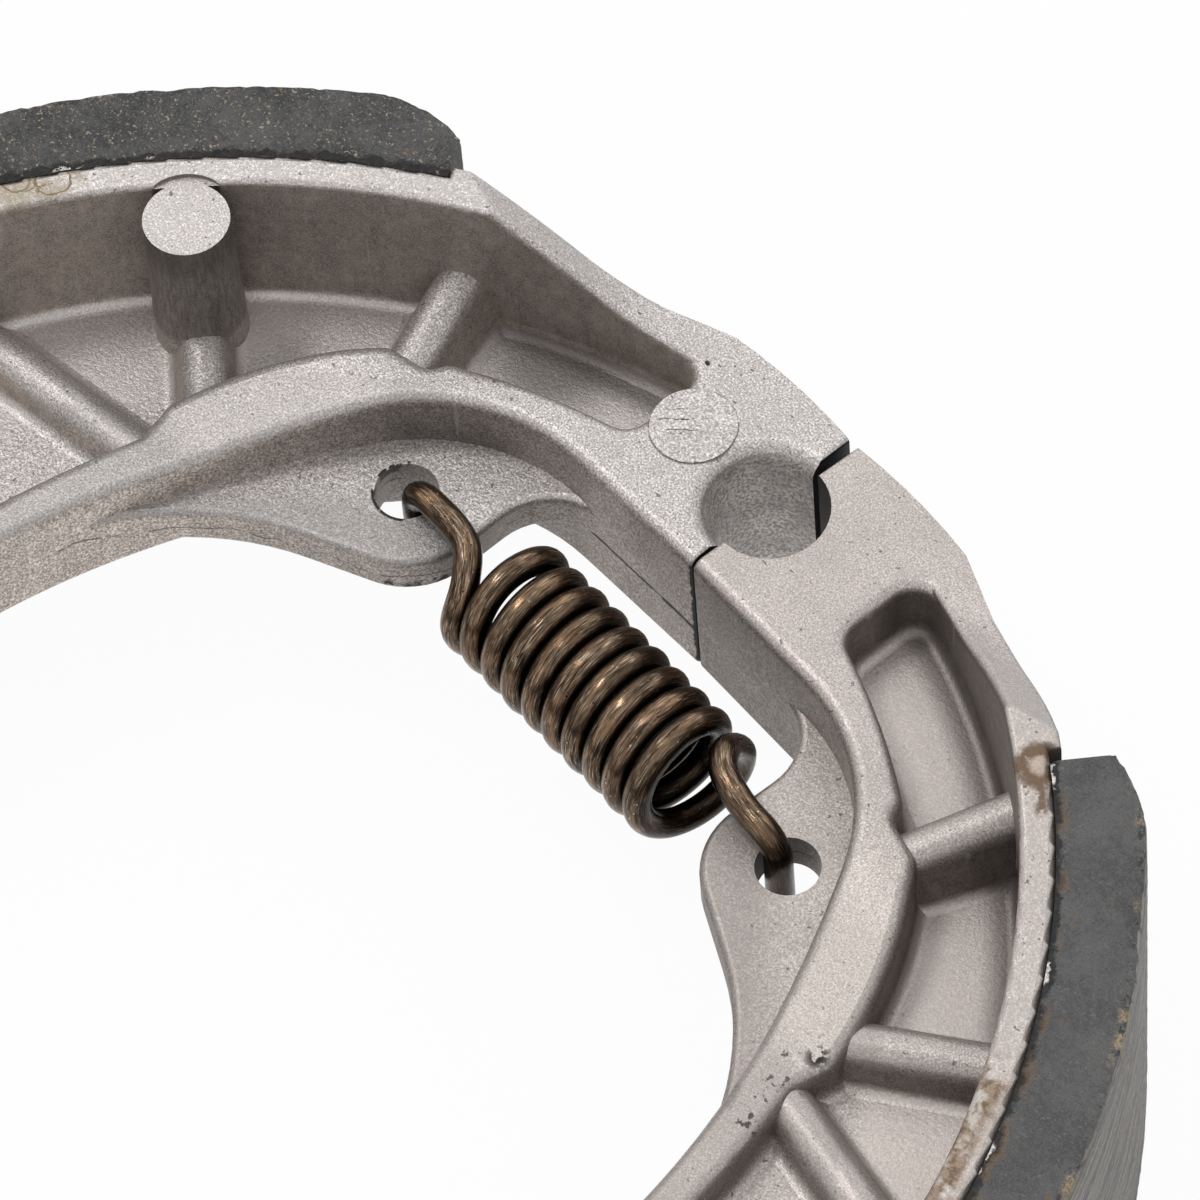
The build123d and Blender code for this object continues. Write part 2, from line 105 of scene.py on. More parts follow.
# Springs
WIRE_RADIUS = 0.85
COIL_RADIUS = 3.35
COIL_PITCH = 1.8
COIL_TURNS = 9.5
HOOK_RISE = 3.0
HOOK_BEND = 1.7
HOOK_LEG = 16.05
HOOK_DROP = 2.6
SPRING_LEVELS = {"anchor": 29.9899, "cam": -30.8278}

# Step between points along the wire, steps round a hook's bend, points round the wire
WIRE_STEP = 0.3
BEND_STEPS = 12
WIRE_SIDES = 20


# ---------------------------------------------------------------- objects

def put_in_scene(name, data):
    """A new object made of that mesh, camera or lamp."""
    thing = bpy.data.objects.new(name, data)
    bpy.context.scene.collection.objects.link(thing)
    return thing


def set_smooth(mesh, angle):
    """Smooth shading, with the normals pointing outwards and sharp edges above that angle."""
    work = bmesh.new()
    work.from_mesh(mesh)
    bmesh.ops.recalc_face_normals(work, faces=work.faces)
    for face in work.faces:
        face.smooth = True
    for edge in work.edges:
        if len(edge.link_faces) == 2 and edge.calc_face_angle() > angle:
            edge.smooth = False
    work.to_mesh(mesh)
    work.free()


# ---------------------------------------------------------------- camera

def add_camera():
    """Camera at the photograph's place, found by fitting the shoes' outlines."""
    rows = [
        (CAMERA_RIGHT[i], -CAMERA_DOWN[i], -CAMERA_AHEAD[i], CAMERA_PLACE[i] * MM)
        for i in range(3)
    ]
    data = bpy.data.cameras.new("camera")
    data.sensor_fit = "HORIZONTAL"
    data.sensor_width = SENSOR_WIDTH
    data.lens = FOCAL_LENGTH / PHOTO_SIDE * SENSOR_WIDTH
    data.clip_start = 0.02
    data.clip_end = 20
    camera = put_in_scene("camera", data)
    camera.matrix_world = Matrix((*rows, (0, 0, 0, 1)))
    bpy.context.scene.camera = camera


# ---------------------------------------------------------------- node helper

class Nodes:
    """Short way of writing a material's node tree."""

    def __init__(self, tree):
        self.tree = tree
        self.tree.nodes.clear()

    def put(self, socket, value):
        if isinstance(value, bpy.types.NodeSocket):
            self.tree.links.new(value, socket)
        else:
            socket.default_value = value

    def new(self, kind, inputs=None, **settings):
        node = self.tree.nodes.new(kind)
        for key, value in settings.items():
            setattr(node, key, value)
        for key, value in (inputs or {}).items():
            self.put(node.inputs[key], value)
        return node

    def math(self, operation, a, b=None, clamp=False):
        inputs = {0: a}
        if b is not None:
            inputs[1] = b
        return self.new("ShaderNodeMath", inputs, operation=operation, use_clamp=clamp).outputs[0]

    def times(self, *values):
        result = values[0]
        for value in values[1:]:
            result = self.math("MULTIPLY", result, value)
        return result

    def most(self, *values):
        result = values[0]
        for value in values[1:]:
            result = self.math("MAXIMUM", result, value)
        return result

    def vmath(self, operation, a, b=None, scale=None):
        inputs = {0: a}
        if b is not None:
            inputs[1] = b
        if scale is not None:
            inputs["Scale"] = scale
        node = self.new("ShaderNodeVectorMath", inputs, operation=operation)
        gives_number = operation in ("DISTANCE", "DOT_PRODUCT", "LENGTH")
        return node.outputs["Value" if gives_number else 0]

    def split(self, vector):
        node = self.new("ShaderNodeSeparateXYZ", {0: vector})
        return node.outputs[0], node.outputs[1], node.outputs[2]

    def join(self, x, y, z):
        return self.new("ShaderNodeCombineXYZ", {0: x, 1: y, 2: z}).outputs[0]

    def noise(self, vector, scale, detail=2.0, roughness=0.5, output="Fac"):
        return self.new("ShaderNodeTexNoise", {
            "Vector": vector, "Scale": scale, "Detail": detail, "Roughness": roughness,
        }).outputs[output]

    def cells(self, vector, scale):
        """Distance from the nearest point of a scattered set."""
        return self.new("ShaderNodeTexVoronoi", {"Vector": vector, "Scale": scale}).outputs["Distance"]

    def ramp(self, value, low, high, out_low=0.0, out_high=1.0):
        """Smooth step from out_low to out_high while value goes from low to high."""
        return self.new("ShaderNodeMapRange", {
            "Value": value, "From Min": low, "From Max": high, "To Min": out_low, "To Max": out_high,
        }, interpolation_type="SMOOTHSTEP").outputs["Result"]

    def below(self, value, edge, soft):
        """1 where value is under edge, fading to 0 over soft."""
        return self.ramp(value, edge - soft / 2, edge + soft / 2, 1.0, 0.0)

    def above(self, value, edge, soft):
        """1 where value is over edge, fading to 0 over soft."""
        return self.ramp(value, edge - soft / 2, edge + soft / 2)

    def band(self, value, middle, half, soft):
        """1 where value is within half of middle."""
        away = self.math("ABSOLUTE", self.math("SUBTRACT", value, middle))
        return self.below(away, half, soft)

    def mix(self, factor, a, b):
        """Colour a where factor is 0 and b where it is 1."""
        node = self.new("ShaderNodeMix", data_type="RGBA", clamp_factor=True)
        for index, value in ((0, factor), (6, a), (7, b)):
            self.put(node.inputs[index], value)
        return node.outputs[2]

    def millimetres(self):
        """The point's place in the shared frame, in millimetres."""
        coords = self.new("ShaderNodeTexCoord").outputs["Object"]
        return self.vmath("SCALE", coords, scale=1 / MM)

    def facing(self):
        """The surface's normal in the shared frame."""
        return self.new("ShaderNodeTexCoord").outputs["Normal"]

    def seen(self):
        """1 for the rays that show the background: the camera's, reflected and refracted ones."""
        path = self.new("ShaderNodeLightPath")
        return self.most(*[path.outputs[f"Is {kind} Ray"] for kind in ("Camera", "Glossy", "Transmission")])

    def surface(self, inputs):
        """Principled shader as the material's surface."""
        shader = self.new("ShaderNodeBsdfPrincipled", inputs)
        self.new("ShaderNodeOutputMaterial", {"Surface": shader.outputs[0]})

    def wobbled(self, p, scale, amount, detail=2.0):
        """p moved about by noise, so that the edges of masks made from it are ragged."""
        shift = self.vmath("SUBTRACT", self.noise(p, scale, detail, output="Color"), (0.5, 0.5, 0.5))
        return self.vmath("ADD", p, self.vmath("SCALE", shift, scale=2.0 * amount))

    def spot(self, p, centre, radius, soft):
        """Mask of a ball."""
        return self.below(self.vmath("DISTANCE", p, centre), radius, soft)

    def ring(self, p, centre, radius, half, soft):
        """Mask of a shell round a centre, within half of that radius."""
        return self.band(self.vmath("DISTANCE", p, centre), radius, half, soft)

    def stroke(self, p, start, end, half, soft):
        """Mask of a straight stroke between two points."""
        along = Vector(end) - Vector(start)
        from_start = self.vmath("SUBTRACT", p, start)
        reached = self.vmath("DOT_PRODUCT", from_start, tuple(along))
        share = self.math("DIVIDE", reached, along.length_squared, clamp=True)
        nearest = self.vmath("SCALE", tuple(along), scale=share)
        return self.below(self.vmath("LENGTH", self.vmath("SUBTRACT", from_start, nearest)), half, soft)


def material(name):
    """A new material and the helper for its nodes."""
    made = bpy.data.materials.new(name)
    made.use_nodes = True
    return made, Nodes(made.node_tree)


def grey(level, warm=1.0):
    """A slightly warm grey of that linear level."""
    return (level * (1 + 0.035 * warm), level * (1 - 0.01 * warm), level * (1 - 0.035 * warm), 1)


def brown(level):
    """The browner grey of drawn walls at that linear level."""
    return (level * 1.12, level * 0.98, level * 0.88, 1)


# ---------------------------------------------------------------- castings

# Heights, radii and places that tell the castings' faces apart, in millimetres
RIM_Z = 12.5
PAD_Z = 5.73
BLOCK_Z = 5.65
RIB_Z = 4.4
FLOOR_TOP = 3.0
POCKET_RADIUS = 40.5
BLOCK_Y = 36.0
ANCHOR = (0.0, 43.25, 0.0)
SEAT_REACH = 3.75
EAR_HOLE = (-16.9, 29.99, 0.0)
EAR_HOLE_EDGE = 1.98
BOSS_PLACE = (-35.15, 29.285)
BOSS_REACH = 2.95
PLAN = (1.0, 1.0, 0.0)
FINE_SCALE = 9.0
METAL_LEVEL = 0.84

# Fine scratches on the left casting's ejector pad: start, end and half width
PAD_SCRATCHES = (
    ((-8.73, 43.33), (-8.07, 44.05), 0.035),
    ((-8.61, 42.40), (-7.34, 43.81), 0.05),
    ((-7.86, 42.14), (-6.59, 43.55), 0.045),
    ((-7.45, 42.24), (-6.63, 43.05), 0.035),
)


def left_marks(n, at, q):
    """Marks of the left casting: (mask, colour) pairs, laid over the metal in this order."""
    rust = (0.085, 0.045, 0.02, 1)
    dark = (0.02, 0.018, 0.017, 1)
    ochre = (0.34, 0.25, 0.11, 1)
    p, (x, y, z) = at["p"], at["xyz"]
    pit = n.stroke(q, (-27.2, 15.9, RIB_Z), (-26.0, 18.4, RIB_Z), 0.34, 0.16)
    chip = n.stroke(q, (-27.6, 15.1, RIB_Z), (-27.3, 15.7, RIB_Z), 0.32, 0.16)
    lines = n.most(*[
        n.stroke(q, (*start, PAD_Z), (*end, PAD_Z), half, 0.06) for start, end, half in PAD_SCRATCHES
    ])
    pad_edge = n.ring(p, (-6.975, 43.53, 5.7), 2.6, 0.035, 0.07)
    outline = n.times(pad_edge, n.above(n.noise(p, 1.1), 0.42, 0.1))
    small = n.most(
        n.spot(q, (-9.8, 46.95, BLOCK_Z), 0.18, 0.1),
        n.spot(q, (-13.6, 40.2, BLOCK_Z), 0.16, 0.1),
    )
    loops = n.most(
        n.ring(q, (-41.09, 24.33, RIM_Z), 1.05, 0.055, 0.1),
        n.ring(q, (-42.51, 22.75, RIM_Z), 0.85, 0.055, 0.1),
        n.stroke(q, (-41.6, 22.4, RIM_Z), (-40.4, 25.4, RIM_Z), 0.05, 0.1),
    )
    film = n.times(
        n.stroke(q, (-42.4, 20.2, RIM_Z), (-40.6, 25.0, RIM_Z), 1.0, 0.7),
        n.above(n.noise(p, 0.9), 0.45, 0.2),
    )
    seam_end = n.times(
        n.stroke(n.wobbled(p, 1.1, 0.2), (-2.8, 37.32, -1.4), (-0.2, 37.39, -1.5), 0.2, 0.12),
        n.above(n.noise(p, 0.9), 0.42, 0.1),
    )
    seam = n.times(
        n.stroke(n.wobbled(p, 0.8, 0.16), (-10.0, 37.16, -1.25), (-0.2, 37.39, -1.4), 0.13, 0.08),
        n.above(n.noise(p, 0.55), 0.28, 0.08),
    )
    nose = n.times(
        n.stroke(q, (-14.0, 26.2, -0.9), (-12.0, 28.6, -0.9), 0.45, 0.4),
        n.above(n.noise(p, 1.5), 0.44, 0.06),
    )
    burr = n.times(
        n.ring(n.vmath("MULTIPLY", p, PLAN), EAR_HOLE, EAR_HOLE_EDGE, 0.1, 0.1),
        n.above(n.noise(p, 1.4, 2.0), 0.45, 0.06), n.above(z, 0.8, 0.2),
        n.below(n.math("ADD", x, y), 13.3, 0.8),
    )
    scratch = n.stroke(n.wobbled(p, 1.2, 0.1), (-41.7, 19.0, 9.0), (-42.6, 19.96, 3.0), 0.05, 0.12)
    return [
        (n.times(scratch, at["wall"], 0.6), (0.6, 0.55, 0.5, 1)),
        (n.times(film, 0.45), ochre),
        (loops, (0.26, 0.19, 0.08, 1)),
        (pit, rust),
        (n.times(chip, 0.8), grey(0.8)),
        (n.times(lines, 0.85), dark),
        (n.times(outline, 0.6), dark),
        (small, dark),
        (seam, dark),
        (seam_end, dark),
        (nose, dark),
        (burr, dark),
    ]


def right_marks(n, at, q):
    """Marks of the right casting, as left_marks gives them."""
    p = at["p"]
    soiled = (0.15, 0.08, 0.032, 1)
    dark = (0.02, 0.017, 0.015, 1)
    blot = n.noise(p, 0.9, 3.0)
    soil = n.noise(p, 1.7, 4.0, 0.7)
    stain = n.times(n.most(
        n.ring(q, (26.5, 40.5, RIM_Z), 1.05, 0.45, 0.5),
        n.stroke(q, (27.4, 39.8, RIM_Z), (28.7, 38.6, RIM_Z), 0.35, 0.5),
    ), n.above(soil, 0.40, 0.16))
    inside = n.times(n.spot(q, (26.5, 40.5, RIM_Z), 1.2, 0.5), 0.45)
    notch = n.spot(q, (27.45, 41.3, 12.3), 0.55, 0.2)
    glue = n.times(
        n.stroke(q, (39.3, 25.9, RIM_Z), (43.6, 17.0, RIM_Z), 0.9, 1.0),
        n.above(blot, 0.46, 0.25),
    )
    pale = n.times(
        n.stroke(q, (39.8, 24.3, RIM_Z), (41.9, 20.2, RIM_Z), 0.5, 0.5),
        n.below(blot, 0.47, 0.1),
    )
    worn = n.noise(p, 2.2, 3.0)
    pits = n.most(
        n.times(n.above(worn, 0.49, 0.06), n.spot(p, (28.5, 22.2, 4.6), 0.9, 0.5)),
        n.times(n.above(worn, 0.58, 0.06), n.spot(p, (29.1, 16.9, 4.2), 1.0, 0.5), 0.8),
        n.times(n.above(worn, 0.64, 0.05), n.spot(p, (27.6, 19.6, 4.4), 2.2, 0.8), 0.7),
    )
    bright = n.times(
        n.spot(p, (28.3, 22.1, 4.6), 1.3, 0.6),
        n.above(n.noise(p, 3.1, 3.0), 0.6, 0.08),
    )
    step = n.stroke(q, (16.6, 43.9, 8.7), (17.35, 45.7, 8.5), 0.07, 0.1)
    above_step = n.stroke(q, (16.9, 43.8, 8.3), (17.65, 45.6, 8.1), 0.12, 0.14)
    return [
        (inside, (0.5, 0.36, 0.24, 1)),
        (n.times(stain, 0.85), soiled),
        (n.times(glue, 0.65), (0.27, 0.165, 0.07, 1)),
        (n.times(glue, n.above(soil, 0.52, 0.1), 0.7), soiled),
        (n.times(pale, 0.6), (0.72, 0.68, 0.6, 1)),
        (n.times(bright, 0.7), grey(0.85)),
        (pits, dark),
        (notch, dark),
        (n.times(above_step, 0.6), grey(0.9)),
        (n.times(step, 0.7), (0.2, 0.12, 0.07, 1)),
    ]


def shoe_radius(n, x, y, side):
    """Distance from that shoe's own centre, and the direction away from it, in plan."""
    centre = (-side * SHOE_CENTRE[0], SHOE_CENTRE[1], 0.0)
    plan = n.join(x, y, 0.0)
    return n.vmath("DISTANCE", plan, centre), n.vmath("NORMALIZE", n.vmath("SUBTRACT", plan, centre))


def open_skin(n, at, side):
    """Colour of the faces that lie open: pale sand grain, darker under the ribs, painted light on the pocket
    floors and painted shadow in the corners.
    """
    p, (x, y, z), radius = at["p"], at["xyz"], at["radius"]
    warm, tone = (1.5, 1.0) if side < 0 else (2.4, 0.88)
    dark_grain, light_grain = (0.33, 0.83) if side < 0 else (0.44, 0.78)
    patch = n.noise(p, 0.35, 3.0, 0.6)
    grain = n.ramp(at["fine"], 0.34, 0.66)
    body = n.mix(grain, grey(dark_grain * tone, warm), grey(light_grain * tone, warm))
    body = n.mix(n.ramp(patch, 0.3, 0.7, 0.0, 0.3), body, grey(0.42 * tone, warm))
    rim_top = n.times(n.above(z, RIM_Z - 0.5, 0.5), n.below(at["wall"], 0.5, 0.4))
    body = n.mix(n.times(rim_top, 0.35), body, grey(0.66 * tone, warm))
    glint = n.times(n.above(n.noise(p, FINE_SCALE, 1.0), 0.66, 0.05), n.below(at["drawn"], 0.5, 0.5))
    body = n.mix(n.times(glint, 1.0 if side < 0 else 0.35), body, grey(0.95, 0.5))
    speckled = n.noise(n.vmath("ADD", p, (31.0, 17.0, 5.0)), 2.6, 2.0)
    body = n.mix(n.times(n.above(speckled, 0.70, 0.03), 0.8), body, grey(0.12))
    hub_side = n.times(n.below(radius, 34.0, 3.0), n.below(z, FLOOR_TOP, 1.0))
    body = n.mix(n.times(hub_side, 0.55), body, grey(0.27, warm))
    # Pocket floors: grain evened out and painted lighter, as painted light
    floor = n.times(n.above(radius, POCKET_RADIUS, 2.0), n.below(z, FLOOR_TOP, 2.0))
    body = n.mix(n.times(floor, 0.5), body, grey(0.78 * tone, warm))
    rib_end = n.below(x, -14.0, 8.0) if side < 0 else n.below(y, 30.0, 8.0)
    rib_side = n.below(radius, 40.0 if side < 0 else 41.0, 1.0)
    body = n.mix(n.times(rib_side, rib_end, n.above(z, FLOOR_TOP, 1.0), 0.4), body, grey(0.36, warm))
    if side > 0:
        # Painted shadow on the pocket floor along the bottom of the outer wall
        painted_shadow = n.times(floor, n.above(radius, 46.3, 1.8), n.above(y, 30.0, 4.0), 0.75)
        return n.mix(painted_shadow, body, brown(0.1))
    # Painted light: a paler spot on the pocket floor beside the ejector boss
    painted_light_spot = n.times(floor, n.spot(p, (-33.0, 30.5, 1.0), 3.2, 3.0), 0.6)
    body = n.mix(painted_light_spot, body, grey(0.98, warm))
    # Painted shadow on the pocket floor below the arm's wall
    painted_shadow = n.times(floor, n.spot(p, (-18.5, 43.0, 1.0), 4.0, 4.0), 0.7)
    body = n.mix(painted_shadow, body, brown(0.1))
    # Painted shade where the wall meets the pocket floor
    painted_wall_base_shade = n.times(
        n.band(z, 2.0, 0.8, 0.5),
        n.stroke(p, (-22.5, 43.2, 2.0), (-12.0, 46.2, 2.0), 2.4, 1.6),
        n.above(radius, 42.5, 1.0), 0.8,
    )
    return n.mix(painted_wall_base_shade, body, brown(0.11))


def wall_gain(n, at, side):
    """Painted light and shade: how much paler or darker than the rest each stretch of the walls is, with
    painted shade in the hub wall's corner.
    """
    x, y, _ = at["xyz"]
    if side > 0:
        return n.ramp(at["radius"], 44.0, 46.0, 1.45, 1.0)
    corner = n.stroke(at["p"], (-19.2, 32.5, 1.6), (-15.8, 35.0, 1.6), 1.8, 4.6)
    hub_wall = n.times(
        n.ramp(y, 13.0, 33.0, 1.9, 0.8), n.ramp(x, -11.0, -7.0, 1.0, 1.35),
        n.ramp(corner, 0.0, 1.0, 1.0, 0.35),
    )
    rim_wall = n.ramp(x, -42.0, -34.0, 1.3, 1.0)
    more = n.times(at["to_hub"], n.math("SUBTRACT", hub_wall, rim_wall))
    return n.math("ADD", more, rim_wall)


def drawn_walls(n, at, side):
    """Colour of the walls that the die drew along: browner, and darker as painted shade on these sideways
    faces, with upright scratches.
    """
    p = at["p"]
    # Painted light and shade: the left casting's walls paler, the right's darker
    level = 1.35 if side < 0 else 0.62
    smear = n.noise(n.vmath("MULTIPLY", p, (1.0, 1.0, 0.5)), 0.5, 3.0, 0.65)
    mottle = n.noise(p, 1.3, 4.0, 0.7)
    colour = n.mix(n.ramp(mottle, 0.3, 0.7), brown(0.19 * level), brown(0.32 * level))
    colour = n.mix(n.ramp(at["scratch"], 0.45, 0.75, 0.0, 0.35), colour, brown(0.14 * level))
    colour = n.mix(n.ramp(smear, 0.35, 0.7, 0.0, 0.55), colour, brown(0.14 * level))
    colour = n.mix(n.ramp(at["fine"], 0.4, 0.65, 0.0, 0.5), colour, brown(0.5 * level))

    # Sand grain on the walls that face the hub, and each stretch's painted light and shade
    sand = n.ramp(n.noise(p, 6.0, 2.0, 0.7), 0.37, 0.63, -0.5, 0.6)
    grit = n.math("ADD", 1.0, n.times(sand, at["to_hub"], 0.9))
    colour = n.vmath("SCALE", colour, scale=n.times(wall_gain(n, at, side), grit))

    # Long pale scratches
    upright = n.noise(n.vmath("MULTIPLY", p, (1.0, 1.0, 0.04)), 1.9, 1.0)
    mark = n.times(n.above(upright, 0.735, 0.02), n.above(smear, 0.45, 0.2), 0.6)
    return n.mix(mark, colour, (0.62, 0.57, 0.53, 1))


def boss_sides(n, at, body):
    """Drawn sides of the ejector bosses, streaked and painted near-black as shade under their bright tops,
    darkest near the top.
    """
    p, (x, y, z) = at["p"], at["xyz"]
    cos, sin = math.cos(SHOE_TURN), math.sin(SHOE_TURN)
    streak = n.noise(n.vmath("MULTIPLY", p, (1.0, 1.0, 0.16)), 5.0, 3.0, 0.7)
    colour = n.mix(n.ramp(streak, 0.35, 0.72), (0.15, 0.13, 0.115, 1), (0.33, 0.30, 0.275, 1))
    colour = n.mix(n.ramp(at["fine"], 0.4, 0.65, 0.0, 0.6), colour, (0.38, 0.34, 0.31, 1))
    colour = n.mix(n.times(n.above(z, 9.8, 3.0), 0.55), colour, (0.06, 0.05, 0.043, 1))
    for end in (1, -1):
        across, along = BOSS_PLACE[0], end * BOSS_PLACE[1]
        boss = (
            across * cos - along * sin + SHOE_CENTRE[0],
            across * sin + along * cos + SHOE_CENTRE[1],
            0.0,
        )
        near = n.below(n.vmath("DISTANCE", n.join(x, y, 0.0), boss), BOSS_REACH, 0.2)
        body = n.mix(n.times(near, n.above(z, 3.2, 0.8), at["wall"]), body, colour)
    return body


def anchor_end(n, at, side, body):
    """Dull, pitted anchor pin seat, and black where the two castings meet."""
    p, (x, y, _) = at["p"], at["xyz"]
    pitted = n.mix(n.ramp(n.noise(p, 5.0, 3.0, 0.75), 0.38, 0.62), grey(0.34, 1.8), grey(1.0, 1.4))
    pitted = n.mix(n.ramp(n.noise(p, 0.45, 2.0), 0.4, 0.62, 0.0, 0.3), pitted, grey(0.3, 1.8))
    if side > 0:
        pitted = n.mix(n.below(x, 2.3, 0.8), pitted, grey(0.02))
    seat = n.below(n.vmath("DISTANCE", n.join(x, y, 0.0), ANCHOR), SEAT_REACH, 0.1)
    body = n.mix(n.times(seat, at["wall"], 0.95), body, pitted)
    across = n.math("ABSOLUTE", x)
    on_block = n.above(y, BLOCK_Y, 0.5)
    sideways = n.above(n.math("ABSOLUTE", n.split(at["facing"])[0]), 0.8, 0.1)
    mating = n.times(sideways, n.below(across, 0.9, 0.6), on_block)
    ragged_edge = n.ramp(n.noise(p, 1.6, 3.0), 0.3, 0.7, 0.0, 0.14)
    in_crack = n.below(n.math("SUBTRACT", across, ragged_edge), 0.16, 0.1)
    crack = n.times(in_crack, at["drawn"], on_block, n.below(y, 38.6, 0.2))
    return n.mix(n.most(mating, crack), body, grey(0.012))


def cast_aluminium(side):
    """Sand-textured die-cast aluminium. side is -1 for the left casting and 1 for the right."""
    made, n = material("cast_aluminium")
    p = n.millimetres()
    x, y, z = n.split(p)
    radius, away = shoe_radius(n, x, y, side)
    facing = n.facing()
    upright = n.math("ABSOLUTE", n.split(facing)[2])
    wall = n.below(upright, 0.55, 0.5)
    drawn = n.below(upright, 0.25, 0.3)
    inwards = n.below(n.vmath("DOT_PRODUCT", facing, away), -0.6, 0.3)
    fine = n.noise(p, FINE_SCALE, 2.0, 0.6)
    scratch = n.noise(n.vmath("MULTIPLY", p, (1.0, 1.0, 0.12)), 2.4, 3.0, 0.6)
    at = {
        "p": p, "xyz": (x, y, z), "radius": radius, "facing": facing, "wall": wall, "drawn": drawn,
        "to_hub": n.times(inwards, n.below(radius, 44.0, 1.0)), "fine": fine, "scratch": scratch,
    }

    body = open_skin(n, at, side)
    share = n.ramp(n.above(radius, POCKET_RADIUS, 5.0), 0.0, 1.0, 0.8, 1.0)
    body = n.mix(n.times(wall, share), body, drawn_walls(n, at, side))
    if side < 0:
        body = boss_sides(n, at, body)

    # Die's closing line round the web's edge
    line_z = n.math("ADD", z, n.ramp(n.noise(p, 0.25, 2.0), 0.2, 0.8, -0.35, 0.35))
    broken = n.above(n.noise(p, 0.4, 3.0), 0.46, 0.08)
    line = n.times(n.band(line_z, 0.0, 0.05, 0.1), drawn, n.below(radius, 37.0, 0.6), broken)
    body = n.mix(n.times(line, 0.85), body, (0.03, 0.027, 0.025, 1))

    body = anchor_end(n, at, side, body)
    dull = n.times(wall, 0.5)
    marks = left_marks if side < 0 else right_marks
    for mask, colour in marks(n, at, n.wobbled(p, 2.2, 0.22)):
        body = n.mix(mask, body, colour)
        dull = n.most(dull, mask)
    body = n.vmath("SCALE", body, scale=METAL_LEVEL)

    # Height: sand grain on the open faces, weaker on the walls, with their scratches added there
    grain = n.math("ADD", n.times(fine, 0.75), n.times(n.cells(p, 3.6), 0.35))
    grain = n.times(grain, n.ramp(wall, 0.0, 1.0, 1.0, 0.45))
    n.surface({
        "Base Color": body,
        "Metallic": n.ramp(dull, 0.0, 1.0, 0.65, 0.3),
        "Roughness": n.ramp(dull, 0.0, 1.0, 0.44, 0.62),
        "Normal": n.new("ShaderNodeBump", {
            "Strength": 1.0 if side < 0 else 0.65, "Distance": 0.00004,
            "Height": n.math("ADD", grain, n.times(scratch, wall, 0.5)),
        }).outputs[0],
    })
    return made


# ---------------------------------------------------------------- linings

def to_rest(points, side):
    """Points in a shoe's own frame, in millimetres, moved to the row frame in metres."""
    x, y, z = points[:, 0], points[:, 1], points[:, 2]
    cos, sin = math.cos(SHOE_TURN), math.sin(SHOE_TURN)
    rx = x * cos - y * sin + SHOE_CENTRE[0]
    ry = x * sin + y * cos + SHOE_CENTRE[1]
    if side > 0:
        rx, z = -rx, -z
    return np.stack([rx, ry, z], axis=1) * MM


def ragged(x, y, z, scale):
    """Noise of that scale at a point, between about -1 and 1."""
    return noise.noise(Vector((x * scale, y * scale, z * scale)))


def lining_column(angle, ends):
    """Outer radius and the outer point's angle at one step round the lining."""
    start, tip, crown = ends[0 if angle < 90 else 1]
    from_end = min(angle, 180 - angle)
    outer, at = DRUM_RADIUS, from_end
    if from_end < CHAMFER_ANGLE:
        share = (from_end - start) / (CHAMFER_ANGLE - start)
        a, b = math.radians(start), math.radians(CHAMFER_ANGLE)
        r0 = TABLE_OUTER + tip
        px = (1 - share) * r0 * math.sin(a) + share * DRUM_RADIUS * math.sin(b)
        py = (1 - share) * r0 * math.cos(a) + share * DRUM_RADIUS * math.cos(b)
        outer = math.hypot(px, py) + crown * 4 * share * (1 - share)
        at = math.degrees(math.atan2(px, py))
    if angle > 90:
        at = 180 - at
    return outer, at


def lining_point(angle, depth, width, side):
    """A point of the lining's skin in the shoe's own frame. angle runs along the lining in degrees,
    depth from the table to the friction face and width from one flat side to the other, 0 to 1."""
    ends = LINING_ENDS[side]
    outer, at = lining_column(angle, ends)
    radius = TABLE_OUTER + depth * (outer - TABLE_OUTER)
    a = math.radians(angle + depth * (at - angle))
    z = LINING_HALF_WIDTH * (2 * width - 1)
    px, py = -radius * math.sin(a), radius * math.cos(a)
    seed = 40.0 * side

    # Distances from the friction face, from the nearer flat side and from the nearer end
    edge = outer - radius
    rim = LINING_HALF_WIDTH - abs(z)
    end = (angle - ends[0][0]) if angle < 90 else (180 - ends[1][0] - angle)
    end *= math.radians(1) * radius

    # Outer edges, rubbed all along, bitten here and there and broken away in a few places
    rough = ragged(px + seed, py, z, 1.1) * 0.5 + ragged(px, py + seed, z, 3.0) * 0.5
    bite = max(0.0, rough + 0.05) * EDGE_BITE[side]
    broken = max(0.0, ragged(px + seed, py, z, 0.3) - 0.3) * EDGE_BREAK[side]
    cut = math.exp(-(edge * edge + rim * rim) / 0.30) * (0.10 + bite + broken * 0.5)
    tip_cut = math.exp(-(end * end + edge * edge) / 0.25) * 0.22

    # The friction face's own roughness, which never stands proud of the solid
    skin = 0.05 * ragged(px + seed, py, z, 2.2)
    radius -= cut * 0.8 + tip_cut + (0.005 + max(0.0, 0.03 + skin) if edge < 0.05 else 0.0)
    z -= math.copysign(cut * 0.7, z) if rim < 2 else 0.0

    # Ragged lower edge against the table
    inner_near = math.exp(-((radius - TABLE_OUTER) ** 2 + rim * rim) / 0.08)
    z -= math.copysign(inner_near * (0.12 + 0.25 * max(0.0, rough)), z)
    return -radius * math.sin(a), radius * math.cos(a), z


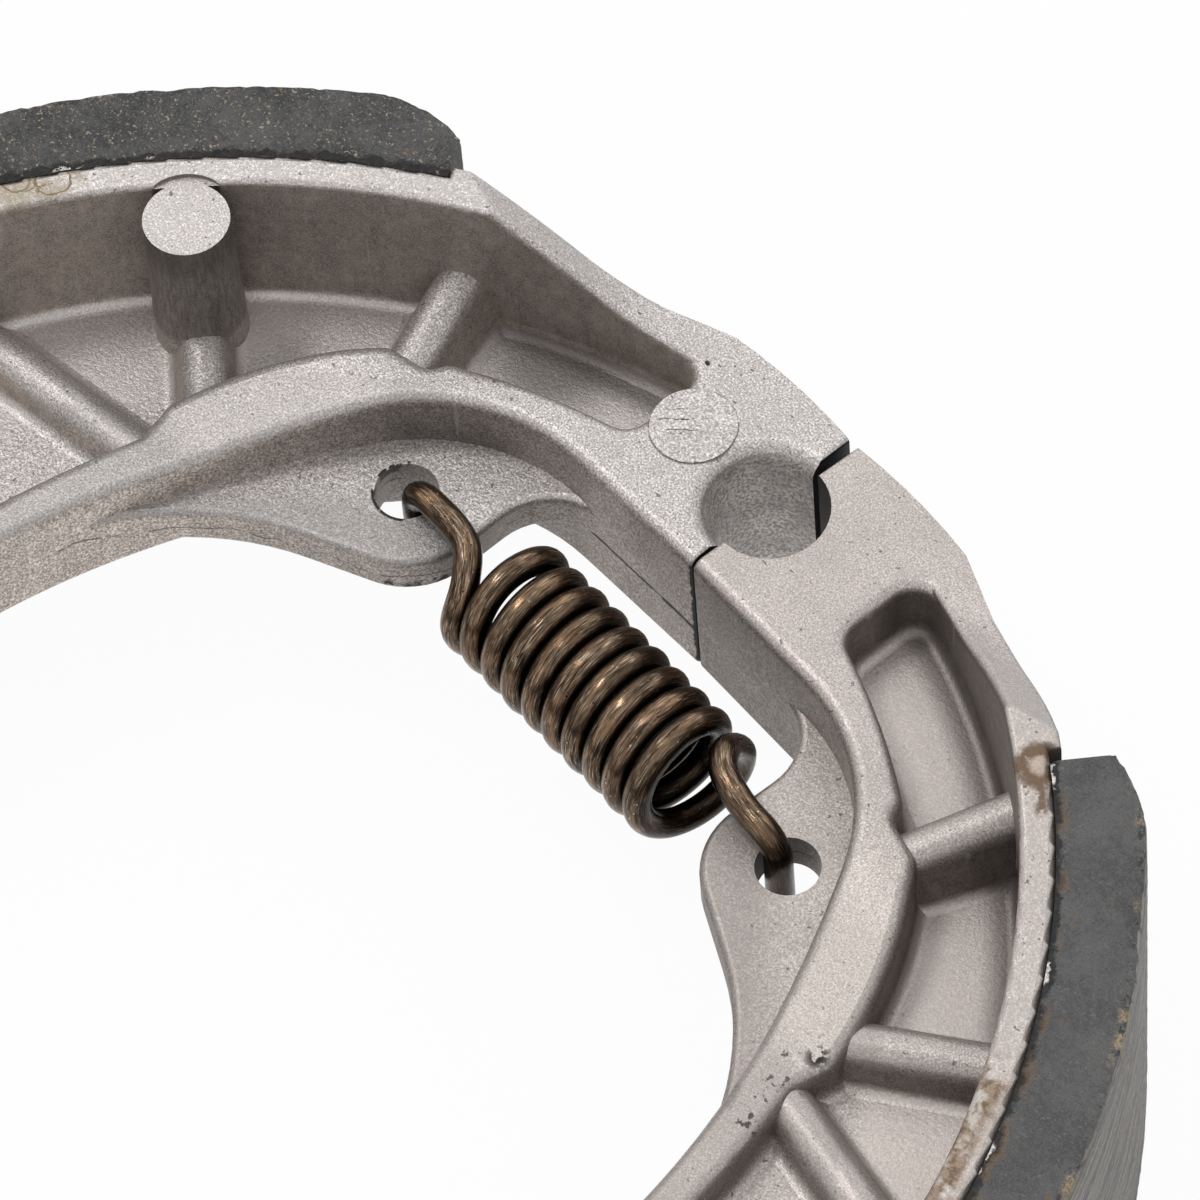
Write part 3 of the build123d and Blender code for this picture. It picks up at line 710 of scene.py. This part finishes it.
def end_face(verts, base, flip):
    """Faces that close one end of the lining, whose outline starts at vertex base. Adds its inner points."""
    through, across = THROUGH_POINTS, ACROSS_POINTS
    grid = {}
    for i in range(through + 1):
        grid[i, 0] = base + i
        grid[i, across] = base + through + across + (through - i)
    for j in range(1, across):
        grid[through, j] = base + through + j
        grid[0, j] = base + 2 * through + across + (across - j)
    for i in range(1, through):
        low, high = Vector(verts[grid[i, 0]]), Vector(verts[grid[i, across]])
        for j in range(1, across):
            grid[i, j] = len(verts)
            verts.append(tuple(low.lerp(high, j / across)))
    faces = []
    for i in range(through):
        for j in range(across):
            face = (grid[i, j], grid[i, j + 1], grid[i + 1, j + 1], grid[i + 1, j])
            faces.append(tuple(reversed(face)) if flip else face)
    return faces


def add_lining(side, made):
    """Moulded friction lining: a curved block with a rough skin and broken edges."""
    first, last = LINING_ENDS[side][0][0], 180 - LINING_ENDS[side][1][0]
    angles = np.concatenate([
        np.linspace(first, CHAMFER_ANGLE, CHAMFER_POINTS)[:-1],
        np.linspace(CHAMFER_ANGLE, 180 - CHAMFER_ANGLE, RUN_POINTS),
        np.linspace(180 - CHAMFER_ANGLE, last, CHAMFER_POINTS)[1:],
    ])
    through, across = THROUGH_POINTS, ACROSS_POINTS
    outline = [(i / through, 0.0) for i in range(through)]
    outline += [(1.0, i / across) for i in range(across)]
    outline += [(1 - i / through, 1.0) for i in range(through)]
    outline += [(0.0, 1 - i / across) for i in range(across)]
    verts = [lining_point(angle, depth, width, side) for angle in angles for depth, width in outline]
    ring, faces = len(outline), []
    for i in range(len(angles) - 1):
        for j in range(ring):
            k = (j + 1) % ring
            faces.append((i * ring + j, i * ring + k, (i + 1) * ring + k, (i + 1) * ring + j))
    faces += end_face(verts, 0, False)
    faces += end_face(verts, (len(angles) - 1) * ring, True)

    mesh = bpy.data.meshes.new("lining")
    mesh.from_pydata([tuple(v) for v in to_rest(np.array(verts), side)], [], faces)
    mesh.validate()
    set_smooth(mesh, math.radians(40))
    mesh.materials.append(made)
    piece = put_in_scene("lining_left" if side < 0 else "lining_right", mesh)
    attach(piece, "left_shoe" if side < 0 else "right_shoe")
    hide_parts("friction_lining_left" if side < 0 else "friction_lining_right")


def compound(n, p, side, fine, cloudy, fleck):
    """Colour of the moulded compound, with its flecks, dust and rusty fibres."""
    body = n.mix(cloudy, *COMPOUND[side])
    body = n.mix(n.ramp(fine, 0.5, 0.72, 0.0, 0.55), body, (0.17, 0.165, 0.155, 1))
    body = n.mix(n.ramp(fine, 0.45, 0.3, 0.0, 0.5), body, (0.02, 0.02, 0.021, 1))
    pale = n.mix(n.ramp(n.noise(p, 1.9, 1.0), 0.4, 0.6), *FLECKS[side])
    dust = n.above(n.noise(n.vmath("ADD", p, (3.0, 8.0, 1.0)), 5.5, 2.0, 0.6), 0.63, 0.05)
    body = n.mix(n.times(dust, FLECK_STRENGTH[side]), body, pale)
    body = n.mix(n.times(fleck, FLECK_STRENGTH[side]), body, pale)
    fibres = n.cells(n.vmath("ADD", p, (13.0, 7.0, 3.0)), 0.62)
    rusty = n.times(n.below(fibres, 0.12, 0.08), n.above(n.noise(p, 0.7), 0.5, 0.1))
    return n.mix(n.times(rusty, 0.6), body, (0.17, 0.11, 0.055, 1))


def friction_material(side):
    """Moulded friction compound with fibres, dark skin on its sides and a ground friction face."""
    made, n = material("friction_material")
    p = n.millimetres()
    x, y, z = n.split(p)
    radius, _ = shoe_radius(n, x, y, side)
    face = n.above(n.math("ABSOLUTE", n.split(n.facing())[2]), 0.6, 0.3)
    grain = n.noise(p, 2.6, 4.0, 0.65)
    fine = n.noise(p, 8.0, 2.0, 0.6)
    cloud = n.noise(p, 0.3, 3.0, 0.6)
    cloudy = n.ramp(n.math("ADD", n.times(grain, 0.6), n.times(cloud, 0.4)), 0.36, 0.64)
    stretched = n.vmath("MULTIPLY", n.wobbled(p, 2.4, 0.3, 3.0), (1.0, 1.0, 0.7))
    size = n.ramp(n.noise(p, 0.8, 2.0), 0.34, 0.68, 0.02, 0.26)
    fleck = n.above(n.math("SUBTRACT", size, n.cells(stretched, 2.1)), 0.0, 0.05)
    body = compound(n, p, side, fine, cloudy, fleck)

    # Ground friction face, lighter and streaked along its run
    ahead = n.math("SUBTRACT", y, SHOE_CENTRE[1])
    angle = n.math("ARCTAN2", ahead, n.math("SUBTRACT", x, -side * SHOE_CENTRE[0]))
    along = n.join(n.times(angle, 4.0), n.times(z, 2.2), n.times(radius, 2.2))
    streak = n.noise(along, 1.6, 4.0, 0.7)
    ground = n.mix(n.ramp(streak, 0.32, 0.68), (0.13, 0.125, 0.12, 1), (0.37, 0.352, 0.335, 1))
    ground = n.mix(n.ramp(fine, 0.5, 0.75, 0.0, 0.4), ground, (0.06, 0.057, 0.054, 1))
    ground = n.mix(n.times(fleck, 0.7), ground, (0.42, 0.34, 0.2, 1))
    outer = n.times(n.above(radius, 53.2, 1.0), n.below(face, 0.5, 0.4))
    body = n.mix(outer, body, ground)

    # Broken outer edge: exposed fibre, and black where the skin has lifted
    near_edge = n.times(n.above(radius, 54.4, 0.4), n.above(n.math("ABSOLUTE", z), 11.9, 0.5))
    worn = n.noise(p, 1.0, 3.0, 0.7)
    here = n.above(n.noise(p, 0.16, 1.0), 0.57, 0.08)
    exposed = n.times(near_edge, n.above(worn, 0.53, 0.16), here)
    fibre = n.mix(n.ramp(fine, 0.35, 0.65), (0.20, 0.13, 0.07, 1), (0.46, 0.37, 0.24, 1))
    body = n.mix(n.times(exposed, 0.75 if side > 0 else 0.3), body, fibre)
    body = n.mix(n.times(near_edge, n.below(worn, 0.42, 0.06), 0.8), body, (0.02, 0.02, 0.02, 1))

    # Seam against the table: a dark gap and smears of metal over it, glue pressed out on the right
    ragged_radius = n.math("ADD", radius, n.ramp(n.noise(p, 0.8, 4.0, 0.7), 0.25, 0.75, -0.32, 0.32))
    gap = n.times(n.below(ragged_radius, 50.34, 0.3), face)
    body = n.mix(gap, body, (0.008, 0.008, 0.008, 1))
    smeared = n.above(n.noise(p, 0.38, 2.0, 0.6), 0.64 if side < 0 else 0.58, 0.06)
    metal = n.times(n.below(ragged_radius, 50.06, 0.1), face, smeared)
    body = n.mix(metal, body, n.mix(n.ramp(fine, 0.3, 0.7), grey(0.4), grey(0.85)))
    if side > 0:
        pressed = n.times(n.below(ragged_radius, 50.75, 0.2), n.above(ragged_radius, 50.2, 0.2))
        glue = n.times(pressed, n.above(n.noise(p, 0.45), 0.5, 0.1), face)
        body = n.mix(n.times(glue, 0.4), body, (0.18, 0.11, 0.05, 1))

    height = n.math("ADD", n.times(grain, 0.8), n.math("ADD", n.times(fine, 0.5), n.times(fleck, 0.3)))
    height = n.math("SUBTRACT", height, n.times(gap, 1.2))
    height = n.math("ADD", height, n.times(metal, 1.8))
    height = n.math("ADD", height, n.times(streak, outer, 0.8))
    bump = n.new("ShaderNodeBump", {"Strength": 0.8, "Distance": 0.00008, "Height": height}).outputs[0]
    n.surface({
        "Base Color": body, "Metallic": n.times(metal, 0.7), "Roughness": n.ramp(grain, 0.3, 0.7, 0.62, 0.85),
        "Normal": bump,
    })
    return made


# ---------------------------------------------------------------- springs

def hermite(points, start_heading, end_heading, step):
    """Smooth curve through points, sampled about every step, without its last point."""
    points = [np.array(point, float) for point in points]
    headings = [np.array(start_heading, float)]
    for before, after in zip(points[:-2], points[2:]):
        chord = after - before
        headings.append(chord / np.linalg.norm(chord))
    headings.append(np.array(end_heading, float))
    result = []
    for a, b, ta, tb in zip(points[:-1], points[1:], headings[:-1], headings[1:]):
        length = np.linalg.norm(b - a)
        count = max(2, int(length / step))
        for i in range(count):
            t = i / count
            h0, h1 = 2 * t ** 3 - 3 * t ** 2 + 1, -2 * t ** 3 + 3 * t ** 2
            g0, g1 = t ** 3 - 2 * t ** 2 + t, t ** 3 - t ** 2
            result.append(h0 * a + h1 * b + (g0 * ta + g1 * tb) * length)
    return result


def hook_line(start, heading, side, over):
    """From the coil's end over the ear, round the bend and down through the hole."""
    bend_start = (side * (HOOK_LEG - HOOK_BEND), 0.0, HOOK_RISE)
    line = hermite([start] + over + [bend_start], heading, (side, 0, 0), WIRE_STEP)
    for i in range(BEND_STEPS):
        turn = math.radians(90 * i / BEND_STEPS)
        line.append(np.array((
            side * (HOOK_LEG - HOOK_BEND + HOOK_BEND * math.sin(turn)), 0.0,
            HOOK_RISE - HOOK_BEND + HOOK_BEND * math.cos(turn),
        )))
    low, high = -HOOK_DROP, HOOK_RISE - HOOK_BEND
    for i in range(BEND_STEPS + 1):
        line.append(np.array((side * HOOK_LEG, 0.0, high + (low - high) * i / BEND_STEPS)))
    return line


def spring_line(slack):
    """Centre line of a return spring from its left hook to its right one, in millimetres.
    slack opens the coils by each hook."""
    end = COIL_TURNS * COIL_PITCH / 2
    count = int(COIL_TURNS * 2 * math.pi * COIL_RADIUS / WIRE_STEP)
    coil = []
    for i in range(count + 1):
        turn = 2 * math.pi * COIL_TURNS * i / count
        x = -end + COIL_PITCH * turn / (2 * math.pi)
        x -= slack * 0.27 * math.exp(-((turn / math.pi - 1.58) / 0.33) ** 2)
        opened = min(max((turn / math.pi - 2 * COIL_TURNS + 1.1) / 0.9, 0.0), 1.0)
        x += slack * 0.38 * opened * opened * (3 - 2 * opened)
        radius = COIL_RADIUS * (1 + 0.008 * math.sin(turn * 0.37 + 1.0))
        coil.append(np.array((x, -radius * math.cos(turn), -radius * math.sin(turn))))
    reach = COIL_RADIUS
    left_over = [(-end - 0.7, -0.53 * reach, 0.8 * reach), (-end - 2.3, -0.13 * reach, reach - 0.1)]
    right_over = [(end + 0.9, 0.56 * reach, 0.83 * reach), (end + 2.4, 0.16 * reach, reach)]
    first = coil[1] - coil[0]
    last = coil[-1] - coil[-2]
    left = hook_line(coil[0], -first / np.linalg.norm(first), -1, left_over)
    right = hook_line(coil[-1], last / np.linalg.norm(last), 1, right_over)
    return np.array(list(reversed(left)) + coil[1:-1] + right)


def add_wire(name, line):
    """Closed tube along a line of points, its texture coordinates running along it in millimetres."""
    count, around, radius = len(line), WIRE_SIDES, WIRE_RADIUS
    heading = np.gradient(line, axis=0)
    heading /= np.linalg.norm(heading, axis=1)[:, None]
    normal = np.cross(heading[0], (0.0, 1.0, 0.2))
    normal /= np.linalg.norm(normal)
    verts = []
    length = np.concatenate([[0], np.cumsum(np.linalg.norm(np.diff(line, axis=0), axis=1))])
    for i in range(count):
        normal -= heading[i] * np.dot(normal, heading[i])
        normal /= np.linalg.norm(normal)
        side = np.cross(heading[i], normal)
        for j in range(around):
            turn = 2 * math.pi * j / around
            verts.append(line[i] + radius * (math.cos(turn) * normal + math.sin(turn) * side))
    faces, coords = [], []
    for i in range(count - 1):
        for j in range(around):
            k = (j + 1) % around
            faces.append((i * around + j, i * around + k, (i + 1) * around + k, (i + 1) * around + j))
            v0, v1 = j / around, (j + 1) / around
            coords += [(length[i], v0), (length[i], v1), (length[i + 1], v1), (length[i + 1], v0)]
    for ring, reverse in ((0, True), (count - 1, False)):
        rim = [ring * around + j for j in range(around)]
        inner = len(verts)
        out = -heading[0] if ring == 0 else heading[-1]
        for j in range(around):
            verts.append(line[ring] + 0.82 * (verts[ring * around + j] - line[ring]) + out * 0.1 * radius)
        for j in range(around):
            k = (j + 1) % around
            quad = (rim[j], rim[k], inner + k, inner + j)
            faces.append(quad if reverse else tuple(reversed(quad)))
            coords += [(length[ring], j / around)] * 4
        faces.append(tuple(inner + j for j in range(around)))
        coords += [(length[ring], j / around) for j in range(around)]
    mesh = bpy.data.meshes.new(name)
    mesh.from_pydata([tuple(np.array(v) * MM) for v in verts], [], faces)
    layer = mesh.uv_layers.new(name="along")
    layer.data.foreach_set("uv", np.array(coords, np.float32).ravel())
    set_smooth(mesh, math.radians(50))
    return put_in_scene(name, mesh)


def spring_wire():
    """Oil-tempered wire: bronze-brown scale with fine drawing lines along it, pale partly as painted
    highlight, coppery where rubbed, with painted shade on its sides.
    """
    made, n = material("spring_wire")
    p = n.millimetres()
    along, turn, _ = n.split(n.new("ShaderNodeUVMap", uv_map="along").outputs[0])
    angle = n.times(turn, 2 * math.pi)
    cos, sin = n.math("COSINE", angle), n.math("SINE", angle)
    streak = n.noise(n.join(n.times(along, 0.10), cos, sin), 5.5, 4.0, 0.7)
    hairline_and_highlight = n.noise(n.join(n.times(along, 0.18), n.times(cos, 2.0), n.times(sin, 2.0)), 7.0, 2.0, 0.6)
    patch = n.noise(n.join(n.times(along, 0.5), cos, sin), 1.0, 3.0, 0.6)
    body = n.mix(n.ramp(streak, 0.34, 0.66), (0.018, 0.011, 0.007, 1), (0.185, 0.122, 0.076, 1))
    # Pale hairlines along the wire: drawing lines, partly painted highlight
    body = n.mix(n.ramp(hairline_and_highlight, 0.5, 0.72, 0.0, 0.7), body, (0.66, 0.53, 0.40, 1))
    copper = n.times(n.above(patch, 0.54, 0.16), n.above(streak, 0.42, 0.2))
    body = n.mix(n.times(copper, 0.32), body, (0.34, 0.19, 0.10, 1))
    body = n.mix(n.times(n.above(n.noise(p, 0.5, 2.0), 0.5, 0.2), 0.35), body, (0.055, 0.04, 0.03, 1))

    # Dark pits and pale specks
    pit = n.times(n.below(n.cells(p, 1.6), 0.10, 0.03), n.above(n.noise(p, 0.8), 0.52, 0.06))
    body = n.mix(pit, body, (0.012, 0.010, 0.009, 1))
    pale = n.times(n.below(n.cells(n.vmath("ADD", p, (5.0, 9.0, 2.0)), 1.3), 0.06, 0.02), 0.8)
    body = n.mix(pale, body, (0.7, 0.66, 0.6, 1))

    # Painted shade: the wire darker on its sides and between the coils, full colour only where it faces
    # outwards, and near-black on the hooks' legs down in the ear holes
    x, y, z = n.split(p)
    level = n.ramp(y, -1.0, 1.0, SPRING_LEVELS["cam"], SPRING_LEVELS["anchor"])
    outward = n.vmath("NORMALIZE", n.join(0.0, n.math("SUBTRACT", y, level), z))
    painted_shade_facing = n.vmath("DOT_PRODUCT", n.facing(), outward)
    body = n.vmath("SCALE", body, scale=n.ramp(painted_shade_facing, 0.3, 0.98, 0.22, 1.0))
    painted_hole_shade = n.times(n.above(n.math("ABSOLUTE", x), HOOK_LEG - 0.9, 0.8), n.below(z, 1.6, 1.6))
    body = n.mix(n.times(painted_hole_shade, 0.8), body, (0.02, 0.011, 0.007, 1))

    height = n.math("ADD", n.times(streak, 0.7), n.math("ADD", n.times(hairline_and_highlight, 0.4), n.times(pit, -1.0)))
    bump = n.new("ShaderNodeBump", {"Strength": 0.55, "Distance": 0.00005, "Height": height}).outputs[0]
    n.surface({
        "Base Color": body, "Metallic": 0.95, "Roughness": n.ramp(streak, 0.3, 0.7, 0.34, 0.15),
        "Normal": bump,
    })
    return made


def add_springs(made):
    """Both return springs, stretching between the shoes."""
    for end, level in SPRING_LEVELS.items():
        line = spring_line(1.0 if end == "anchor" else 0.6)
        piece = add_wire("spring_" + end, line + np.array((0.0, level, 0.0)))
        piece.data.materials.append(made)
        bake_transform(piece)
        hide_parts("return_spring_" + end)


# ---------------------------------------------------------------- dressing

def dress_nodes(linings, wire):
    """The CAD nodes' materials."""
    for name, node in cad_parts.items():
        if name.startswith("shoe_casting"):
            made = cast_aluminium(-1 if name.endswith("left") else 1)
        elif name.startswith("friction_lining"):
            made = linings[-1 if name.endswith("left") else 1]
        else:
            made = wire
        node.data.materials.clear()
        node.data.materials.append(made)


# ---------------------------------------------------------------- light and floor

def add_world():
    """Soft tent: bright above and behind the object, darker low down towards the viewer. Plain white
    where it's seen."""
    world = bpy.data.worlds.new("studio")
    bpy.context.scene.world = world
    world.use_nodes = True
    n = Nodes(world.node_tree)
    direction = n.new("ShaderNodeTexCoord").outputs["Generated"]
    up = n.split(direction)[2]
    front = n.vmath("DOT_PRODUCT", direction, TO_VIEWER)
    level = n.ramp(up, -0.1, 0.9, 0.48, 0.74)
    shade = n.times(n.ramp(front, 0.1, 0.9), n.ramp(up, 0.75, 0.25))
    level = n.times(level, n.ramp(shade, 0.0, 1.0, 1.0, 0.3))
    lit = n.new("ShaderNodeBackground", {"Color": WHITE, "Strength": level})
    plain = n.new("ShaderNodeBackground", {"Color": WHITE, "Strength": 1.0})
    mixed = n.new("ShaderNodeMixShader", {0: n.seen(), 1: lit.outputs[0], 2: plain.outputs[0]})
    n.new("ShaderNodeOutputWorld", {"Surface": mixed.outputs[0]})


def add_area(name, place, size, power, colour):
    """Area lamp that points at the origin."""
    data = bpy.data.lights.new(name, "AREA")
    data.shape = "RECTANGLE"
    data.size = size[0]
    data.size_y = size[1]
    data.energy = power
    data.color = colour
    lamp = put_in_scene(name, data)
    lamp.location = place
    lamp.rotation_euler = (-Vector(place)).to_track_quat("-Z", "Y").to_euler()


def add_lamps():
    """A small warm key from the left and a large cool one from behind."""
    add_area("key", (-0.27, -0.06, 0.56), (0.13, 0.13), 0.85, (1.0, 0.985, 0.965))
    add_area("back", (-0.20, 0.42, 0.36), (0.45, 0.25), 0.35, (0.97, 0.985, 1.0))


def add_floor():
    """White floor that catches the shadows and is almost plain white where it's seen."""
    mesh = bpy.data.meshes.new("floor")
    corners = [(FLOOR_HALF * i, FLOOR_HALF * j, FLOOR_Z) for i, j in ((-1, -1), (1, -1), (1, 1), (-1, 1))]
    mesh.from_pydata(corners, [], [(0, 1, 2, 3)])
    floor = put_in_scene("floor", mesh)
    made, n = material("floor")
    matt = n.new("ShaderNodeBsdfDiffuse", {"Color": (0.9, 0.9, 0.9, 1)})
    glow = n.new("ShaderNodeEmission", {"Color": WHITE, "Strength": 1.0})
    white = n.times(n.seen(), FLOOR_WHITENESS)
    both = n.new("ShaderNodeMixShader", {0: white, 1: matt.outputs[0], 2: glow.outputs[0]})
    n.new("ShaderNodeOutputMaterial", {"Surface": both.outputs[0]})
    mesh.materials.append(made)


add_camera()
linings = {-1: friction_material(-1), 1: friction_material(1)}
wire = spring_wire()
dress_nodes(linings, wire)
add_lining(-1, linings[-1])
add_lining(1, linings[1])
add_springs(wire)
add_world()
add_lamps()
add_floor()
bpy.context.scene.view_settings.view_transform = "Standard"

bpy.context.view_layer.update()
